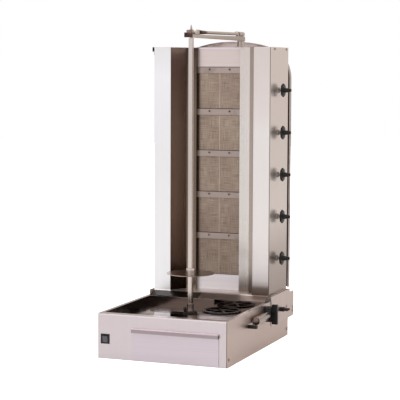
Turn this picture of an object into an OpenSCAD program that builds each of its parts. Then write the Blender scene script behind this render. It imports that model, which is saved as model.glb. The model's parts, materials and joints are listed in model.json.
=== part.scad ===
// Vertical rotisserie broiler: five gas burners behind a turning spit.
// The origin is at the middle of the base's underside, +Z is up and the front faces -Y.

/* [Base] */
// Width of the base casing
base_w = 500; // [460:1:620]
// Depth of the base casing
base_d = 700; // [680:1:800]
// Height of the base casing with the rim of its drip tray
base_h = 166; // [160:1:190]
// Depth of the drip tray below its rim
tray_depth = 28; // [20:1:32]
// Thickness of the folded sheet that the casing and the tower are made of
sheet = 1.5; // [1:0.1:2]

/* [Drawer] */
// Width of the drawer front
drawer_w = 333; // [300:1:340]
// Height of the drawer front
drawer_h = 116; // [105:1:120]
// How far the middle of the drawer lies to the right of the middle of the base
drawer_x = 51.5; // [45:0.5:60]

/* [Tower] */
// Width of the burner tower
tower_w = 476.6; // [450:0.2:480]
// Depth of the burner tower
tower_d = 215; // [200:1:230]
// Height of the tower's underside above the rim of the drip tray
tower_lift = 17; // [14:1:40]
// Height from one burner to the next
burner_pitch = 162; // [150:1:170]
// Height of the plain panel under the burners
lower_panel_h = 62; // [50:1:90]
// Height of the plain panel over the burners
upper_panel_h = 77; // [60:1:100]
// How far the tower slides towards the spit
tower_travel = 80; // [40:1:80]

/* [Spit] */
// Side of the square spit bar
spit_a = 15; // [12:0.5:16]
// Height of the spit's point above the tower
spit_over = 79; // [73:1:83]
// Distance of the spit in front of the middle of the base
spit_front = 70; // [60:1:80]
// Diameter of the plate that carries the meat
disc_d = 178; // [150:1:190]
// Height of the plate above the rim of the drip tray
disc_lift = 123; // [90:1:160]

/* [Fittings] */
// Diameter of the star wheels on the gas taps
tap_wheel_d = 52; // [44:1:56]
// Diameter of the clamping knob's ribbed hub
clamp_hub_d = 60; // [50:1:64]
// Length of the clamping knob's paddle
clamp_paddle_l = 74; // [64:1:80]
// Diameter of the guide tube on the right side of the base
tube_d = 30; // [24:1:34]

/* [Hidden] */
$fn = 48;

// Fits: running is the radial play of a bore on its pin, loose that of a screw in its hole
running = 0.05;
loose = 0.3;
gap = 0.5;
eps = 0.01;

// Base
bx = base_w / 2;
by = base_d / 2;
rim_z = base_h - sheet;
tray_floor_z = base_h - tray_depth;
tray_rear_y = by - 255;
rim_side = 15;
rim_front = 26;
drain = [95, tray_rear_y - 81];
drain_r = 66;
grille_r = 74;
grille_t = 4;

// Drawer
front_left_x = drawer_x - drawer_w / 2;
front_right_x = drawer_x + drawer_w / 2;
front_z = 3;
front_gap = 1;
front_y = -by - front_gap;
pan_margin = 7;
pan_z = 8;
pan_h = 84;
hole_margin = 3;

// Spit and its drive
spit_y = -spit_front;
shaft_r = 10;
bearing_top_z = tray_floor_z + 6;
collar_z = bearing_top_z + loose;
socket_z = collar_z + 1.7;
bar_foot_z = socket_z + 14;
socket_top_z = bar_foot_z + 14;
neck_r = 5;
tip_h = 18;
neck_drop = 2;
disc_z = base_h + disc_lift;

// Tower
tx = tower_w / 2;
ty = base_d / 2 - 204;
tower_back_y = ty + tower_d;
tower_z = base_h + tower_lift;
first_burner_z = tower_z + lower_panel_h;
tower_top_z = first_burner_z + 5 * burner_pitch + upper_panel_h;
tip_z = tower_top_z + spit_over - tip_h;
panel_z = tower_z + sheet;
panel_top_z = tower_top_z - sheet;
stile_y = ty + 70;
mesh_y = ty + 90;
wing_x = tx * 0.7135;
stile_x = 130;
recess_x = 90;
mesh_t = 1.2;
mesh_x = 84.6;
mesh_back_y = mesh_y + mesh_t;
strip_h = 23;
strip_t = 3;
strip_screw_x = 41.5;
strip_screw_drop = 8;
box_x = 86;
box_t = 1.2;
box_back_y = mesh_y + 89;
box_back_r = 12;

// Side plates and their studs
plate_t = 2;
plate_x = bx + gap;
plate_outer_x = plate_x + plate_t;
plate_front_y = ty - 12;
plate_back_y = tower_back_y + 55;
plate_bottom_z = tower_z - 113;
plate_back_z = tower_z - 12;
stud_r = 4;
stud_z = base_h - 47;
front_stud_y = ty + 26;
lever_y = ty + 101;
cap_x = plate_outer_x + 1;
knob_y = ty - 75;
knob_z = stud_z + 9;
knob_stud_r = 5;

// Taps and manifold
tap_y = ty + 94;
tap_drop = 87;
tap_r = 10;
spindle_r = 4;
manifold_x = tx - 33.3;
manifold_r = 10;
boss_half = 11;
wheel_x = tx + 15;

// Top arm: its pivot and the direction from there to the spit
pivot = [72, ty + 129];
post_r = 13.5;
ring_r = 15;
pin_r = 8;
arm_z = tower_top_z + 24.6;
arm_top_z = arm_z + 17.5;
arm_tip_z = arm_z + 6.4;
arm_w = 12;
reach = norm([pivot.x, pivot.y - spit_y]);
arm_turn = atan2(spit_y - pivot.y, -pivot.x);
bar_side = 7;
finger = 22;
finger_w = 6;
keeper_z = arm_top_z + 0.3;
keeper_h = 17.5;
keeper_back = 22;
rod_r = 5.9;
rod_z = arm_top_z + 8.9;
rod_side = bar_side + arm_w / 2;
lug_x = 44;
lug_w = 12;

// Helpers

function unit(v) = v / norm(v);
function side_of(a, b) = let (d = unit(b - a)) [-d.y, d.x];
function mitre(p, i, t) =
    i == 0 ? p[0] + t * side_of(p[0], p[1])
    : i == len(p) - 1 ? p[i] + t * side_of(p[i - 1], p[i])
    : let (a = side_of(p[i - 1], p[i]), b = side_of(p[i], p[i + 1])) p[i] + t * (a + b) / (1 + a * b);

// A bent sheet: the path p with the thickness t on its left side
module bent_sheet(p, t) {
    polygon(concat(p, [for (i = [len(p) - 1:-1:0]) mitre(p, i, t)]));
}

module box(x0, x1, y0, y1, z0, z1) {
    translate([x0, y0, z0]) cube([x1 - x0, y1 - y0, z1 - z0]);
}

// Round bars along the three axes, starting at the point p
module rod_x(p, r, l) {
    translate(p) rotate([0, 90, 0]) cylinder(r = r, h = l);
}

module rod_y(p, r, l) {
    translate(p) rotate([-90, 0, 0]) cylinder(r = r, h = l);
}

module rod_z(p, r, l) {
    translate(p) cylinder(r = r, h = l);
}

module round_rect(w, h, r) {
    translate([r, 0]) square([w - 2 * r, h]);
    translate([0, r]) square([w, h - 2 * r]);
    for (x = [r, w - r], y = [r, h - r]) translate([x, y]) circle(r = r);
}

// Height of the top edge of burner i, which counts from 1 at the top
function burner_top(i) = first_burner_z + (6 - i) * burner_pitch;
function tap_z(i) = burner_top(i) - tap_drop;

// Base

module base_casing() {
    color("lightgray") difference() {
        box(-bx, bx, -by, by, 0, rim_z);
        box(-bx + sheet, bx - sheet, -by + sheet, by - sheet, -1, rim_z + 1);
        box(front_left_x + hole_margin, front_right_x - hole_margin, -by - 1, -by + 5,
            front_z + 2, front_z + drawer_h - 3);
        translate([switch_x, -by - 1, switch_z]) box(-14, 14, 0, 5, -15, 15);
        rod_y([gland_x, by - 5, gland_z], 10.3, 10);
        for (x = [-bx - 1, bx - 5], y = [-screw_y, screw_y]) rod_x([x, y, base_screw_z], 3.3, 6);
        for (x = [-bx - 1, bx - 5], y = [front_stud_y, lever_y]) rod_x([x, y, stud_z], stud_r + loose, 6);
        rod_x([bx - 5, knob_y, knob_z], knob_stud_r + loose, 6);
    }
}

module base_bottom_plate() {
    x = bx - sheet;
    y = by - sheet;
    color("darkgray") difference() {
        union() {
            box(-x, x, -y, y, 0, sheet);
            for (s = [-x, x - sheet]) box(s, s + sheet, -y, y, 0, 40);
        }
        for (s = [-bx, bx - 5], v = [-screw_y, screw_y]) rod_x([s, v, base_screw_z], 3.3, 6);
    }
}

module drip_tray() {
    x = bx - rim_side;
    y0 = -by + rim_front;
    color("silver") difference() {
        union() {
            box(-bx, bx, -by, tray_rear_y, rim_z, base_h);
            box(-x - sheet, x + sheet, y0 - sheet, tray_rear_y, tray_floor_z - sheet, base_h);
        }
        box(-x, x, y0, tray_rear_y - sheet, tray_floor_z, base_h + 1);
        rod_z([drain.x, drain.y, tray_floor_z - 5], drain_r, 10);
        rod_z([0, spit_y, tray_floor_z - 5], 12, 10);
    }
}

// A ring on spokes that keeps scraps out of the drain
module drain_grille() {
    color([0.1, 0.1, 0.1]) translate([drain.x, drain.y, tray_floor_z]) {
        difference() {
            cylinder(r = grille_r, h = grille_t);
            translate([0, 0, -1]) cylinder(r = grille_r - 12, h = grille_t + 2);
        }
        cylinder(r = 13, h = grille_t);
        for (a = [0:60:300]) rotate([0, 0, a]) box(11, grille_r - 10, -4, 4, 0, grille_t);
    }
}

module rear_deck() {
    color("lightgray") {
        box(-bx, bx, tray_rear_y, by, rim_z, base_h);
        box(-bx + sheet, bx - sheet, tray_rear_y, tray_rear_y + sheet, rim_z - 24, rim_z + eps);
    }
}

module drawer_runners() {
    color("darkgray") for (s = [0, 1]) translate([drawer_x, 0, 0]) mirror([s, 0, 0]) {
        w = drawer_w / 2 - pan_margin;
        box(w - 14, w + 3, -by + 5, tray_rear_y, sheet, pan_z - 0.4);
        box(w + 1, w + 3, -by + 5, tray_rear_y, pan_z - 1, 30);
    }
}

// A flat worm gearbox under the tray, with its motor lying beside it
module gear_motor() {
    z = tray_floor_z - sheet;
    color([0.25, 0.26, 0.28]) difference() {
        union() {
            box(-37, 37, spit_y - 32, spit_y + 32, z - 36, z);
            rod_x([-150, spit_y, z - 18], 17, 114);
            rod_x([-158, spit_y, z - 18], 14, 10);
        }
        rod_z([0, spit_y, z - 32], shaft_r + running, 40);
    }
}

module spit_bearing() {
    color([0.3, 0.3, 0.3]) difference() {
        rod_z([0, spit_y, tray_floor_z], 26, 6);
        rod_z([0, spit_y, tray_floor_z - 1], shaft_r + running, 8);
    }
}

switch_x = -bx + 29;
switch_z = 73;
rocker_r = 12;
rocker_tilt = 8;

module switch_bezel() {
    color([0.08, 0.08, 0.08]) translate([switch_x, -by, switch_z]) difference() {
        union() {
            box(-17, 17, -2, 0, -18, 18);
            box(-13.5, 13.5, -eps, 16, -14.5, 14.5);
        }
        box(-10.5, 10.5, -3, 13, -13, 13);
        rod_x([-12, 5, 0], 1.5, 24);
    }
}

// The rocker turns on a pin across the bezel and is drawn with its lower half pressed
module switch_rocker() {
    color([0.3, 0.3, 0.3]) translate([switch_x, -by + 5, switch_z]) {
        rotate([rocker_tilt, 0, 0]) rotate([0, -90, 0]) translate([0, 0, -10])
            linear_extrude(20) polygon([
                [-11.5, -8.5], [0, -7], [11.5, -8.5], [11, -3], [4, 3], [-4, 3], [-11, -3]
            ]);
        rod_x([-11.9, 0, 0], 1.5 - running, 23.8);
    }
}

gland_x = -180;
gland_z = 60;

module cable_gland() {
    color([0.08, 0.08, 0.08]) difference() {
        union() {
            rod_y([gland_x, by - 12, gland_z], 10, 30);
            rod_y([gland_x, by, gland_z], 14, 6);
            rod_y([gland_x, by + 6, gland_z], 12, 14);
        }
        rod_y([gland_x, by - 13, gland_z], 5, 40);
    }
}

tube_x = bx + tube_d / 2 + 3;
tube_z = base_h - 38;
tube_y0 = knob_y - 165;
tube_l = 126;
foot_y0 = tube_y0 - 39;

module guide_tube() {
    color("silver") difference() {
        rod_y([tube_x, tube_y0, tube_z], tube_d / 2, tube_l);
        rod_y([tube_x, tube_y0 + 2, tube_z], tube_d / 2 - 2, tube_l);
    }
}

// Two saddles hold the tube; a bracket in front of it carries an upright wire
module tube_brackets() {
    color([0.12, 0.11, 0.1]) {
        difference() {
            for (y = [tube_y0 + 12, tube_y0 + tube_l - 24]) box(bx, tube_x, y, y + 12, tube_z - 9, tube_z + 9);
            rod_y([tube_x, tube_y0 - 30, tube_z], tube_d / 2 + loose, tube_l + 60);
        }
        box(bx, bx + 34, foot_y0, foot_y0 + 14, tube_z - 22, tube_z - 10);
        rod_z([tube_x, foot_y0 + 7, tube_z - 11], 1.6, 33);
    }
}

screw_y = by - 15;
base_screw_z = 28;

module base_screws() {
    color("silver") for (s = [0, 1], y = [-screw_y, screw_y]) mirror([s, 0, 0]) {
        rod_x([bx - 8, y, base_screw_z], 3, 9);
        rod_x([bx, y, base_screw_z], 5.5, 2.4);
    }
}

// Two studs on each side that the side plates slide along, all but the lever's with plain nuts
module clamp_studs() {
    inner_x = bx - sheet;
    color("silver") {
        for (s = [0, 1], y = [front_stud_y, lever_y]) mirror([s, 0, 0]) {
            rod_x([inner_x - 5, y, stud_z], 8, 5);
            rod_x([inner_x - 1, y, stud_z], stud_r, cap_x + 12 - inner_x);
            if (s == 1 || y == front_stud_y) rod_x([cap_x, y, stud_z], 8, 7);
        }
        rod_x([inner_x - 5, knob_y, knob_z], 9, 5);
        rod_x([inner_x - 1, knob_y, knob_z], knob_stud_r, 27);
    }
}

// Drawer

module drawer_pan() {
    x0 = front_left_x + pan_margin;
    x1 = front_right_x - pan_margin;
    color("silver") difference() {
        box(x0, x1, front_y, tray_rear_y, pan_z, pan_z + pan_h);
        box(x0 + sheet, x1 - sheet, front_y + sheet, tray_rear_y - sheet, pan_z + sheet, pan_z + 200);
    }
}

// The front's upper edge is bent forward and down into a handle
module drawer_front() {
    top = front_z + drawer_h;
    color("lightgray") translate([front_right_x, 0, 0]) rotate([0, -90, 0]) linear_extrude(drawer_w)
        bent_sheet([[front_z, front_y], [top, front_y], [top - 3, front_y - 9], [top - 16, front_y - 10]], -sheet);
}

// Spit

module drive_shaft() {
    color("silver") {
        rod_z([0, spit_y, tray_floor_z - 32], shaft_r, bar_foot_z - tray_floor_z + 32);
        rod_z([0, spit_y, collar_z], shaft_r + 3, socket_z - collar_z);
    }
}

// A tube on the drive shaft, flared at the top, that holds the foot of the spit bar
module spit_socket() {
    color("silver") difference() {
        union() {
            rod_z([0, spit_y, socket_z], 12.6, socket_top_z - socket_z);
            for (z = [socket_z, socket_top_z - 6]) rod_z([0, spit_y, z], 14, 3);
        }
        rod_z([0, spit_y, socket_z - 1], shaft_r + loose, bar_foot_z - socket_z + 1);
        bar_hole(bar_foot_z - eps, socket_top_z + 1);
        rod_x([-30, spit_y, socket_z + 6], 3.3, 30);
    }
}

module bar_hole(z0, z1) {
    half = spit_a / 2 + 0.1;
    translate([0, spit_y, 0]) box(-half, half, -half, half, z0, z1);
}

module socket_screw() {
    color([0.15, 0.13, 0.12]) {
        rod_x([-20, spit_y, socket_z + 6], 3, 9.5);
        rod_x([-26, spit_y, socket_z + 6], 7, 7);
    }
}

// A square bar with a round neck for the top arm and a point to thread the meat on
module spit_bar() {
    half = spit_a / 2;
    color("silver") translate([0, spit_y, 0]) {
        box(-half, half, -half, half, bar_foot_z, arm_tip_z - neck_drop);
        rod_z([0, 0, arm_tip_z - neck_drop - 1], neck_r, tip_z - arm_tip_z + neck_drop + 1);
        translate([0, 0, tip_z]) cylinder(r1 = neck_r, r2 = 0.6, h = tip_h);
    }
}

module meat_disc() {
    color("silver") difference() {
        rod_z([0, spit_y, disc_z - 2.5], disc_d / 2, 2.5);
        bar_hole(disc_z - 5, disc_z + 5);
    }
}

module disc_hub() {
    color("silver") difference() {
        rod_z([0, spit_y, disc_z], 15.5, 18);
        bar_hole(disc_z - 1, disc_z + 30);
    }
}

// Tower

// The plate rides along the side of the base; its flange carries the tower
module side_plate(s) {
    color("lightgray") mirror([s < 0 ? 1 : 0, 0, 0]) {
        difference() {
            translate([plate_x, 0, 0]) rotate([90, 0, 90]) linear_extrude(plate_t) difference() {
                translate([plate_front_y, plate_bottom_z]) {
                    round_rect(plate_back_y - plate_front_y, plate_back_z - plate_bottom_z, 12);
                    round_rect(tower_back_y + 4 - plate_front_y, tower_z - plate_bottom_z, 3);
                }
                slot_w = 2 * (stud_r + 0.2);
                translate([front_stud_y - slot_w / 2, stud_z - slot_w / 2])
                    round_rect(lever_y - front_stud_y + tower_travel + slot_w, slot_w, slot_w / 2 - eps);
                // An open notch takes in the knob's stud when the tower is forward
                notch = tower_travel - (plate_front_y - knob_y) + knob_stud_r + 1;
                translate([plate_front_y - 1, knob_z - knob_stud_r - gap])
                    square([notch + 1, 2 * (knob_stud_r + gap)]);
            }
            for (z = [90, 105]) rod_x([plate_x - 1, plate_back_y - 12, z], 2.6, 5);
        }
        difference() {
            box(tx - 36, plate_outer_x, stile_y + 4, tower_back_y, tower_z - sheet, tower_z);
            foot_holes();
        }
    }
}

module side_plate_left() { side_plate(-1); }
module side_plate_right() { side_plate(1); }

module column(s) {
    color("lightgray") mirror([s < 0 ? 1 : 0, 0, 0]) difference() {
        translate([0, 0, panel_z]) linear_extrude(panel_top_z - panel_z)
            bent_sheet([[tx, tower_back_y], [tx, ty], [wing_x, ty]], -sheet);
        if (s > 0) for (i = [1:5]) rod_x([tx - 5, tap_y, tap_z(i)], 7.3, 10);
        for (p = side_screws) rod_x([tx - 5, p.x, p.y], 2.3, 10);
    }
}

module left_column() { column(-1); }
module right_column() { column(1); }

// A polished wing from the column inwards, with the stile and the wall of the recess
module reflector(s) {
    color("gainsboro") mirror([s < 0 ? 1 : 0, 0, 0])
        translate([0, 0, panel_z]) linear_extrude(panel_top_z - panel_z) bent_sheet([
            [wing_x + 14, ty + sheet], [wing_x, ty + sheet], [stile_x, stile_y],
            [recess_x, stile_y], [recess_x, mesh_back_y]
        ], -sheet);
}

module left_reflector() { reflector(-1); }
module right_reflector() { reflector(1); }

foot_x = tx - 16;
foot_y = [stile_y + 24, tower_back_y - 30];
side_screws = [[ty + 47, tower_top_z - 7], [ty + 191, tower_top_z - 7], [ty + 183, tower_z + 138]];

// Outline of the tower seen from above, without the recess between the stiles
module tower_outline() {
    polygon([
        [-tx, tower_back_y], [-tx, ty], [-wing_x, ty], [-stile_x, stile_y],
        [stile_x, stile_y], [wing_x, ty], [tx, ty], [tx, tower_back_y]
    ]);
}

module tower_top_plate() {
    color("gray") {
        translate([0, 0, panel_top_z]) linear_extrude(sheet) difference() {
            tower_outline();
            translate([-recess_x, stile_y - 1]) square([2 * recess_x, mesh_y - 3 - stile_y + 1]);
        }
        box(-recess_x, recess_x, mesh_y - 3, mesh_y - sheet, tower_top_z - 8, panel_top_z + eps);
    }
}

apron_y = tray_rear_y + 2;

module foot_holes() {
    for (x = [-foot_x, foot_x], y = foot_y) rod_z([x, y, tower_z - 5], 2.3, 10);
}

// The bottom plate runs out forward into a sloping apron that leads fat into the tray
module tower_bottom_plate() {
    x = tx - 2;
    color("lightgray") {
        difference() {
            translate([0, 0, tower_z]) linear_extrude(sheet) tower_outline();
            foot_holes();
        }
        translate([-x, 0, 0]) rotate([90, 0, 90]) linear_extrude(2 * x)
            polygon([
                [apron_y, base_h + 1], [apron_y, base_h + 1 + sheet], [ty, tower_z + sheet],
                [stile_y + 4, tower_z + sheet], [stile_y + 4, tower_z], [ty, tower_z]
            ]);
    }
}

module back_panel() {
    x = tx - sheet;
    color("darkgray") difference() {
        box(-x, x, tower_back_y - sheet, tower_back_y, panel_z, panel_top_z);
        rod_y([manifold_x, tower_back_y - 5, inlet_z], 8.3, 10);
    }
}

// Plain panels above and below the burners
module upper_panel() {
    color("lightgray") box(-recess_x, recess_x, mesh_y - sheet, mesh_y, burner_top(1) + 1, panel_top_z);
}

module lower_panel() {
    color("lightgray") box(-recess_x, recess_x, mesh_y - sheet, mesh_y, panel_z, first_burner_z - 1);
}

// A pressed box that feeds gas to the plaques in its mouth
module burner_box(i) {
    z1 = burner_top(i) - 1;
    z0 = z1 - burner_pitch + 2;
    color([0.45, 0.42, 0.4]) difference() {
        union() {
            box(-recess_x - 10, recess_x + 10, mesh_back_y, mesh_back_y + box_t, z0, z1);
            box(-box_x, box_x, mesh_back_y, box_back_y, z0, z1);
        }
        box(-box_x + box_t, box_x - box_t, mesh_back_y + 14, box_back_y - box_t, z0 + box_t, z1 - box_t);
        box(-box_x + 6, box_x - 6, mesh_back_y, mesh_back_y + 20, z0 + 6, z1 - strip_h + 6);
        box(-box_x + box_t, box_x - box_t, mesh_back_y - 1, plaque_back_y, plaque_z0(i), plaque_z1(i));
        for (x = [-1, 1]) rod_y([x * strip_screw_x, mesh_back_y - 1, burner_top(i) - strip_screw_drop], 2.3, 8);
        rod_x([box_x - 3, feed_y, tap_z(i)], 3, 6);
    }
}

module burner_box_1() { burner_box(1); }
module burner_box_2() { burner_box(2); }
module burner_box_3() { burner_box(3); }
module burner_box_4() { burner_box(4); }
module burner_box_5() { burner_box(5); }

plaque_back_y = mesh_back_y + 12.5;
function plaque_z0(i) = burner_top(i) - burner_pitch + 3;
function plaque_z1(i) = burner_top(i) - strip_h + 1;

module burner_meshes() {
    color([0.55, 0.49, 0.44]) for (i = [1:5]) difference() {
        z1 = burner_top(i) - 1;
        box(-mesh_x, mesh_x, mesh_y, mesh_back_y, z1 - burner_pitch + 2, z1);
        for (x = [-1, 1]) rod_y([x * strip_screw_x, mesh_y - 1, burner_top(i) - strip_screw_drop], 2.3, 8);
    }
}

// Two plaques side by side in the mouth of each burner
module ceramic_plaques() {
    x = box_x - box_t;
    color([0.85, 0.78, 0.66]) for (i = [1:5], s = [0, 1]) mirror([s, 0, 0])
        box(0.4, x, mesh_back_y + 0.5, plaque_back_y, plaque_z0(i), plaque_z1(i));
}

module bracket_strips() {
    color("silver") for (i = [1:5]) difference() {
        box(-recess_x, recess_x, mesh_y - strip_t, mesh_y, burner_top(i) - strip_h, burner_top(i));
        for (x = [-1, 1])
            rod_y([x * strip_screw_x, mesh_y - 10, burner_top(i) - strip_screw_drop], 2.3, 20);
    }
}

feed_y = tap_y + 6;
inlet_z = tower_z + 12;

// One riser with a flat boss at each tap, fed from behind
module gas_manifold() {
    color([0.72, 0.6, 0.35]) {
        rod_z([manifold_x, tap_y, inlet_z - 9], manifold_r, tap_z(1) - inlet_z + 29);
        for (i = [1:5]) translate([manifold_x, tap_y, tap_z(i)])
            box(-boss_half, boss_half, -12, 12, -12, 12);
        rod_y([manifold_x, tap_y, inlet_z], 8, tower_back_y - tap_y + 30);
        rod_y([manifold_x, tower_back_y + 6, inlet_z], 10.4, 24);
    }
}

module tap_bodies() {
    color("silver") for (i = [1:5]) translate([0, tap_y, tap_z(i)]) {
        rod_x([manifold_x + boss_half, 0, 0], tap_r, tx - sheet - manifold_x - boss_half);
        rod_x([tx - sheet - eps, 0, 0], 7, 8);
        rod_x([tx, 0, 0], 11, 4);
        rod_x([tx, 0, 0], spindle_r, wheel_x - tx + 18);
    }
}

module feed_pipes() {
    color([0.72, 0.6, 0.35]) for (i = [1:5]) difference() {
        rod_x([box_x, feed_y, tap_z(i)], 5, manifold_x - boss_half - box_x);
        rod_x([box_x - 1, feed_y, tap_z(i)], 3, manifold_x - boss_half - box_x);
    }
}

// Rear cover, standing off the tower's back

cover_y = tower_back_y + 20;
cover_d = 24;
cover_top_z = tower_top_z + 25.5;
cover_r = 150;
cover_corner_z = cover_top_z - cover_r + 1.5;
crown_r = 520;
cover_bottom_z = tower_z + 29;

// Round corners under one wide arc; t is the distance inside the outline
module cover_outline(t) {
    intersection() {
        union() {
            translate([-tx + t, cover_bottom_z]) square([2 * (tx - t), cover_corner_z - cover_bottom_z]);
            translate([-tx + cover_r, cover_corner_z - 1]) square([2 * (tx - cover_r), cover_r - t + 1]);
            for (s = [-1, 1]) translate([s * (tx - cover_r), cover_corner_z]) circle(r = cover_r - t, $fn = 96);
        }
        union() {
            translate([0, cover_top_z - crown_r]) circle(r = crown_r - t, $fn = 192);
            translate([-tx - 1, cover_bottom_z - 1])
                square([2 * tx + 2, max(cover_corner_z, cover_top_z - crown_r) - cover_bottom_z]);
        }
    }
}

module rear_cover() {
    color("lightgray") translate([0, cover_y + cover_d, 0]) rotate([90, 0, 0]) difference() {
        union() {
            linear_extrude(cover_d) cover_outline(0);
            for (x = [-tx, tx - 14]) translate([x, tower_z + 2, 0]) cube([14, cover_bottom_z - tower_z, cover_d]);
        }
        translate([0, 0, sheet]) linear_extrude(cover_d) difference() {
            cover_outline(sheet);
            translate([-300, 0]) square([600, cover_bottom_z + sheet]);
        }
        // Below the cover only the corners of its sides reach down, as two folded legs
        for (s = [0, 1]) mirror([s, 0, 0]) translate([tx - 15, tower_z, sheet])
            cube([15 - sheet, cover_bottom_z - tower_z, cover_d]);
    }
}

module cover_spacers() {
    color("silver") for (x = [-150, 150], z = [tower_z + 117, tower_z + 717])
        rod_y([x, tower_back_y, z], 6, cover_y + cover_d - sheet - tower_back_y);
}

module arm_post() {
    color("silver") {
        rod_z([pivot.x, pivot.y, tower_top_z], 24, 3);
        rod_z([pivot.x, pivot.y, tower_top_z], post_r, arm_z - tower_top_z - 0.2);
        rod_z([pivot.x, pivot.y, tower_top_z], pin_r, arm_top_z - tower_top_z);
    }
}

// Small screws: two in each bracket strip, three in each side, four under the tower
module tower_screws() {
    color("silver") {
        for (i = [1:5], x = [-1, 1]) translate([x * strip_screw_x, 0, burner_top(i) - strip_screw_drop]) {
            rod_y([0, mesh_y - strip_t - 2.2, 0], 4.5, 2.2);
            rod_y([0, mesh_y - strip_t - 1, 0], 2, 9);
        }
        for (s = [0, 1], p = side_screws) mirror([s, 0, 0]) {
            rod_x([tx, p.x, p.y], 4.5, 2.2);
            rod_x([tx - 6, p.x, p.y], 2, 7);
        }
        for (x = [-foot_x, foot_x], y = foot_y) {
            rod_z([x, y, tower_z + sheet], 4.5, 2.2);
            rod_z([x, y, tower_z - 6], 2, 9);
        }
        for (s = [0, 1], z = [90, 105]) mirror([s, 0, 0]) {
            rod_x([plate_outer_x, plate_back_y - 12, z], 4.5, 2.2);
            rod_x([plate_x + 0.1, plate_back_y - 12, z], 2.3, 3);
        }
    }
}

// A small hooked lip at the top of the left column
module shield_hook() {
    x = -tx;
    color([0.12, 0.11, 0.1]) {
        box(x - 2, x, ty + 2, ty + 24, tower_top_z - 30, tower_top_z);
        box(x - 9, x - 1, ty + 2, ty + 24, tower_top_z - 3, tower_top_z);
        box(x - 9, x - 7, ty + 2, ty + 24, tower_top_z - 17, tower_top_z);
    }
}

module tap_knob(i) {
    color([0.1, 0.1, 0.1]) translate([0, tap_y, tap_z(i)]) difference() {
        union() {
            rod_x([wheel_x, 0, 0], 13, 9);
            rod_x([wheel_x + 1, 0, 0], tap_wheel_d / 2 - 2.5, 7);
            for (a = [0:45:315]) rotate([a, 0, 0]) rod_x([wheel_x + 1.5, tap_wheel_d / 2 - 4, 0], 4, 6);
            translate([wheel_x + 9, 0, 0]) rotate([0, 90, 0]) cylinder(r1 = 10, r2 = 6.5, h = 24);
            rod_x([wheel_x + 32, 0, 0], 5, 4.5);
        }
        rod_x([wheel_x - 1, 0, 0], spindle_r + running, 20);
    }
}

module tap_knob_1() { tap_knob(1); }
module tap_knob_2() { tap_knob(2); }
module tap_knob_3() { tap_knob(3); }
module tap_knob_4() { tap_knob(4); }
module tap_knob_5() { tap_knob(5); }

// Top arm: in its own frame +X runs from the pivot towards the spit

module arm_frame() {
    translate([pivot.x, pivot.y, 0]) rotate([0, 0, arm_turn]) children();
}

// The bar gets thinner towards the spit, passes it on one side and ends in a finger in front of it
module arm_bar() {
    tip_x = reach + finger + finger_w;
    color("silver") arm_frame() difference() {
        union() {
            rod_z([0, 0, arm_z], ring_r, arm_top_z - arm_z);
            translate([0, bar_side + arm_w, 0]) rotate([90, 0, 0]) linear_extrude(arm_w) polygon([
                [0, arm_z], [tip_x, arm_tip_z], [tip_x, arm_top_z], [0, arm_top_z]
            ]);
            box(tip_x - finger_w, tip_x, -12.5, bar_side + arm_w, arm_tip_z + 0.5, arm_top_z + 7);
            box(lug_x, lug_x + lug_w, bar_side, bar_side + arm_w, arm_top_z - 1, rod_z + 9);
        }
        rod_z([0, 0, arm_z - 1], pin_r + running, arm_top_z - arm_z + 2);
        rod_x([lug_x - 1, rod_side, rod_z], rod_r + running, lug_w + 2);
    }
}

// A flat pad behind the spit's neck, with a cheek beside it
module keeper_block() {
    x = reach - neck_r - 2;
    color("silver") arm_frame() {
        box(reach - keeper_back, x, -26, bar_side + arm_w + 4, keeper_z, keeper_z + keeper_h);
        box(x - 1, reach + 6.5, bar_side, bar_side + arm_w + 4, keeper_z, keeper_z + keeper_h);
    }
}

// The rod pulls the keeper back; a band, a taper and a grip are turned on it
module keeper_rod() {
    color([0.35, 0.3, 0.27]) arm_frame() translate([0, rod_side, rod_z]) {
        rod_x([30, 0, 0], rod_r, reach - keeper_back - 30);
        rod_x([reach - keeper_back - 14, 0, 0], 8.7, 14);
        translate([reach - keeper_back - 50, 0, 0]) rotate([0, 90, 0]) cylinder(r1 = rod_r + 0.5, r2 = 8, h = 37);
        rod_x([6, 0, 0], 8.5, 36);
    }
}

// Clamps on the right side of the base

// A ribbed hub with a flat paddle across its end
module clamp_knob() {
    r = clamp_hub_d / 2;
    color([0.1, 0.1, 0.1]) translate([cap_x, knob_y, knob_z]) difference() {
        union() {
            rod_x([0, 0, 0], r - 2.5, 24);
            for (a = [7.5:15:352.5]) rotate([a, 0, 0]) rod_x([0, r - 3, 0], 3, 22.5);
            box(23, 44, -6.5, 6.5, -clamp_paddle_l / 2, clamp_paddle_l / 2);
        }
        rod_x([-1, 0, 0], knob_stud_r + running, 24);
    }
}

module clamp_lever() {
    color([0.16, 0.13, 0.12]) translate([cap_x, lever_y, stud_z]) difference() {
        union() {
            rod_x([0, 0, 0], 9, 14);
            for (s = [-1, 1]) {
                box(5, 14, s > 0 ? 0 : -13, s > 0 ? 13 : 0, -4, 4);
                box(13, 33, s * 9.5 - 3.5, s * 9.5 + 3.5, -4, 4);
            }
        }
        rod_x([-1, 0, 0], stud_r + running, 17);
    }
}

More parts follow.
